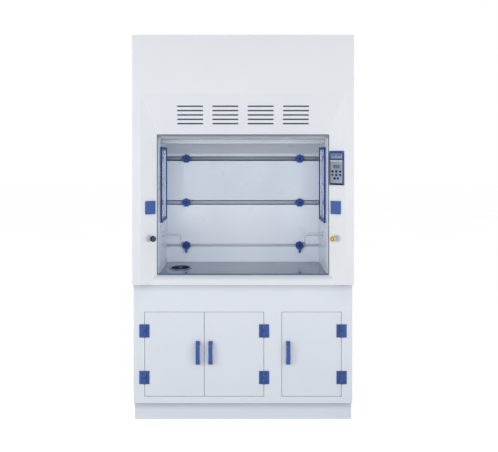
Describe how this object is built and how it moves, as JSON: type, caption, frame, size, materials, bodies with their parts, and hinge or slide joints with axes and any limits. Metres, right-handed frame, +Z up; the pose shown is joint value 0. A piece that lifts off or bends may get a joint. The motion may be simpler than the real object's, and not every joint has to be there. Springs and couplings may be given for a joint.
{
  "type": "ducted fume hood",
  "caption": "Floor-standing ducted fume hood: louvred body with a sliding sash, baffled chamber, cup sink, spouts and side windows over a door cabinet.",
  "frame": {"origin": "middle of the footprint, on the floor", "axes": "+Z up, -Y out of the front, +X to the right seen from the front"},
  "size_m": [1.24, 0.8, 2.23],
  "materials": {
    "body_sheet": "satin white polypropylene sheet",
    "chamber_sheet": "smooth white polypropylene sheet",
    "door_sheet": "satin white polypropylene",
    "blue_plastic": "moulded blue polypropylene",
    "worktop": "glossy grey worktop",
    "sink": "moulded polypropylene",
    "diffuser": "opal diffuser",
    "duct": "grey polypropylene tube",
    "clear_pane": "clear toughened glass",
    "iron": "painted iron",
    "pulley": "turned nylon",
    "steel_cable": "stranded steel",
    "spout": "coated tube",
    "socket": "moulded plastic",
    "knob_navy": "moulded plastic",
    "knob_yellow": "moulded plastic",
    "control_panel": "moulded plastic with membrane keys",
    "sash_frame": "grey polypropylene"
  },
  "bodies": {
    "hood": {"cabinet_base": "body_sheet", "cabinet_left_side": "body_sheet", "cabinet_right_side": "body_sheet", "cabinet_front_frame": "body_sheet", "back_panel": "body_sheet", "hood_left_side": "body_sheet", "hood_right_side": "body_sheet", "hood_roof": "body_sheet", "front_fascia": "body_sheet", "left_liner": "chamber_sheet", "right_liner": "chamber_sheet", "ceiling_panel": "chamber_sheet", "baffle_lower": "chamber_sheet", "baffle_middle": "chamber_sheet", "baffle_upper": "chamber_sheet", "baffle_top": "chamber_sheet", "hinge_left_upper": "blue_plastic", "hinge_left_lower": "blue_plastic", "hinge_middle_upper": "blue_plastic", "hinge_middle_lower": "blue_plastic", "hinge_right_upper": "blue_plastic", "hinge_right_lower": "blue_plastic", "worktop": "worktop", "cup_sink": "sink", "lamp": "diffuser", "exhaust_duct": "duct", "window_frame_left": "blue_plastic", "window_pane_left": "clear_pane", "sash_cable_left": "steel_cable", "spout_left": "spout", "socket_left": "socket", "window_frame_right": "blue_plastic", "window_pane_right": "clear_pane", "sash_cable_right": "steel_cable", "spout_right": "spout", "socket_right": "socket", "control_panel": "control_panel"},
    "door_left": {"door_left": "door_sheet", "handle_left": "blue_plastic"},
    "door_middle": {"door_middle": "door_sheet", "handle_middle": "blue_plastic"},
    "door_right": {"door_right": "door_sheet", "handle_right": "blue_plastic"},
    "sash": {"sash_frame": "sash_frame", "sash_lower_pane": "clear_pane"},
    "upper_pane": {"sash_upper_pane": "clear_pane"},
    "weight_left": {"counterweight_left": "iron"},
    "pulley_left": {"pulley_left": "pulley"},
    "weight_right": {"counterweight_right": "iron"},
    "pulley_right": {"pulley_right": "pulley"},
    "valve_left": {"valve_knob_left": "knob_navy"},
    "cover_left": {"socket_cover_left": "socket"},
    "valve_right": {"valve_knob_right": "knob_yellow"},
    "cover_right": {"socket_cover_right": "socket"},
    "knob_lower_left": {"star_knob_lower_left": "blue_plastic"},
    "knob_lower_right": {"star_knob_lower_right": "blue_plastic"},
    "knob_middle_left": {"star_knob_middle_left": "blue_plastic"},
    "knob_middle_right": {"star_knob_middle_right": "blue_plastic"},
    "knob_upper_left": {"star_knob_upper_left": "blue_plastic"},
    "knob_upper_right": {"star_knob_upper_right": "blue_plastic"}
  },
  "joints": [
    {"name": "door_left_hinge", "type": "hinge", "parent": "hood", "child": "door_left", "pos_m": [-0.5585, -0.33811, 0.385], "axis": [0, 0, -1], "range_deg": [0, 110]},
    {"name": "door_middle_hinge", "type": "hinge", "parent": "hood", "child": "door_middle", "pos_m": [0.1195, -0.33811, 0.385], "axis": [0, 0, 1], "range_deg": [0, 110]},
    {"name": "door_right_hinge", "type": "hinge", "parent": "hood", "child": "door_right", "pos_m": [0.5585, -0.33811, 0.385], "axis": [0, 0, 1], "range_deg": [0, 110]},
    {"name": "sash_slide", "type": "slide", "parent": "hood", "child": "sash", "axis": [0, 0, 1], "range_m": [-0.77, 0], "deforming": ["sash_cable_left", "sash_cable_right"]},
    {"name": "upper_pane_slide", "type": "slide", "parent": "hood", "child": "upper_pane", "axis": [0, 0, 1], "range_m": [-0.3855, 0]},
    {"name": "weight_left_slide", "type": "slide", "parent": "hood", "child": "weight_left", "axis": [0, 0, 1], "range_m": [0, 0.771]},
    {"name": "pulley_left_turn", "type": "hinge", "parent": "hood", "child": "pulley_left", "pos_m": [-0.5375, -0.31431, 2.105], "axis": [0, 1, 0], "range_deg": [0, 1177.5]},
    {"name": "weight_right_slide", "type": "slide", "parent": "hood", "child": "weight_right", "axis": [0, 0, 1], "range_m": [0, 0.771]},
    {"name": "pulley_right_turn", "type": "hinge", "parent": "hood", "child": "pulley_right", "pos_m": [0.5375, -0.31431, 2.105], "axis": [0, 1, 0], "range_deg": [-1177.5, 0]},
    {"name": "valve_left_turn", "type": "hinge", "parent": "hood", "child": "valve_left", "pos_m": [-0.529, -0.36531, 1.045], "axis": [0.612, -0.7909, 0], "range_deg": [0, 90]},
    {"name": "socket_cover_left_hinge", "type": "hinge", "parent": "hood", "child": "cover_left", "pos_m": [-0.51957, -0.36851, 1.2525], "axis": [-0.7909, -0.612, 0], "range_deg": [0, 95]},
    {"name": "valve_right_turn", "type": "hinge", "parent": "hood", "child": "valve_right", "pos_m": [0.529, -0.36531, 1.045], "axis": [-0.612, -0.7909, 0], "range_deg": [0, 90]},
    {"name": "socket_cover_right_hinge", "type": "hinge", "parent": "hood", "child": "cover_right", "pos_m": [0.51957, -0.36851, 1.2525], "axis": [-0.7909, 0.612, 0], "range_deg": [0, 95]},
    {"name": "star_knob_lower_left_turn", "type": "hinge", "parent": "hood", "child": "knob_lower_left", "pos_m": [-0.357, 0.20219, 0.9435], "axis": [0, -1, 0], "continuous": true},
    {"name": "star_knob_lower_right_turn", "type": "hinge", "parent": "hood", "child": "knob_lower_right", "pos_m": [0.357, 0.20219, 0.9435], "axis": [0, -1, 0], "continuous": true},
    {"name": "star_knob_middle_left_turn", "type": "hinge", "parent": "hood", "child": "knob_middle_left", "pos_m": [-0.357, 0.20219, 1.2128], "axis": [0, -1, 0], "continuous": true},
    {"name": "star_knob_middle_right_turn", "type": "hinge", "parent": "hood", "child": "knob_middle_right", "pos_m": [0.357, 0.20219, 1.2128], "axis": [0, -1, 0], "continuous": true},
    {"name": "star_knob_upper_left_turn", "type": "hinge", "parent": "hood", "child": "knob_upper_left", "pos_m": [-0.357, 0.20219, 1.4894], "axis": [0, -1, 0], "continuous": true},
    {"name": "star_knob_upper_right_turn", "type": "hinge", "parent": "hood", "child": "knob_upper_right", "pos_m": [0.357, 0.20219, 1.4894], "axis": [0, -1, 0], "continuous": true}
  ],
  "couplings": [
    {"joint": "upper_pane_slide", "follows": "sash_slide", "ratio": 0.5},
    {"joint": "weight_left_slide", "follows": "sash_slide", "ratio": -1},
    {"joint": "pulley_left_turn", "follows": "sash_slide", "rad_per_m": -26.667},
    {"joint": "weight_right_slide", "follows": "sash_slide", "ratio": -1},
    {"joint": "pulley_right_turn", "follows": "sash_slide", "rad_per_m": 26.667}
  ]
}
